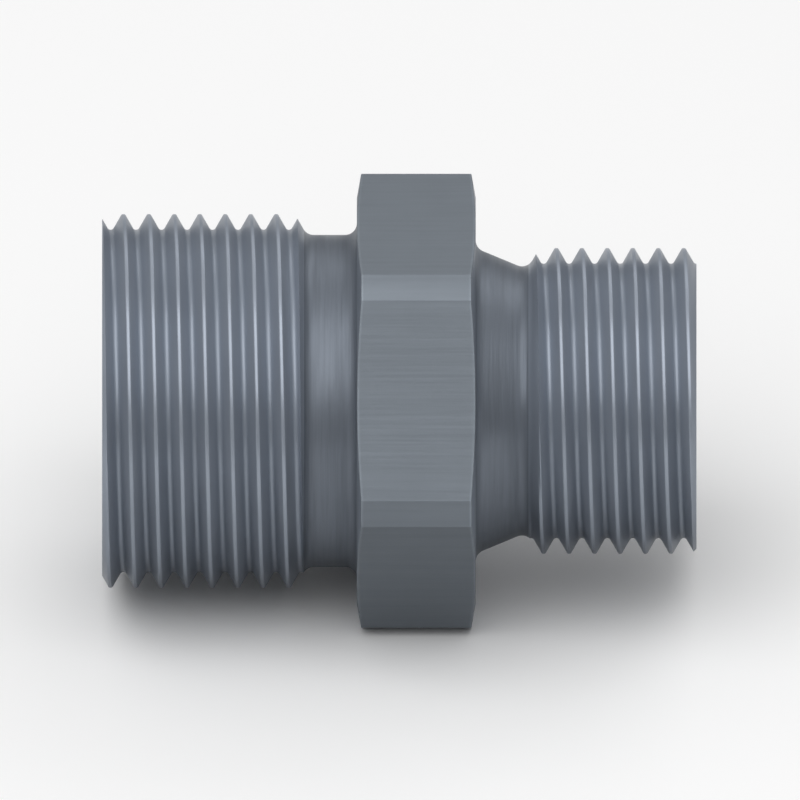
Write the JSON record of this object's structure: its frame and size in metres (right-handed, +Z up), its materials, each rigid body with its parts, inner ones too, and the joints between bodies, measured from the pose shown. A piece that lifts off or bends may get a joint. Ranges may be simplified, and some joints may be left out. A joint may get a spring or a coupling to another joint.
{
  "type": "straight hydraulic adapter",
  "caption": "Straight steel adapter that joins a cone-sealed hydraulic tube fitting to a straight-thread port, with a hexagon for a spanner between its threaded ends.",
  "frame": {"origin": "on the floor under the middle of the adapter's length, with one flat of the hexagon lying on the floor", "axes": "+X along the adapter's axis, from the tube end to the port stud; +Z up, square to the flat that it lies on; the axis runs 12 mm above the floor"},
  "size_m": [0.035, 0.0268, 0.024],
  "materials": {
    "steel": "satin blue-grey steel, turned all over, with milled flats on the hexagon"
  },
  "bodies": {
    "root": {"adapter_body": "steel"}
  },
  "joints": []
}
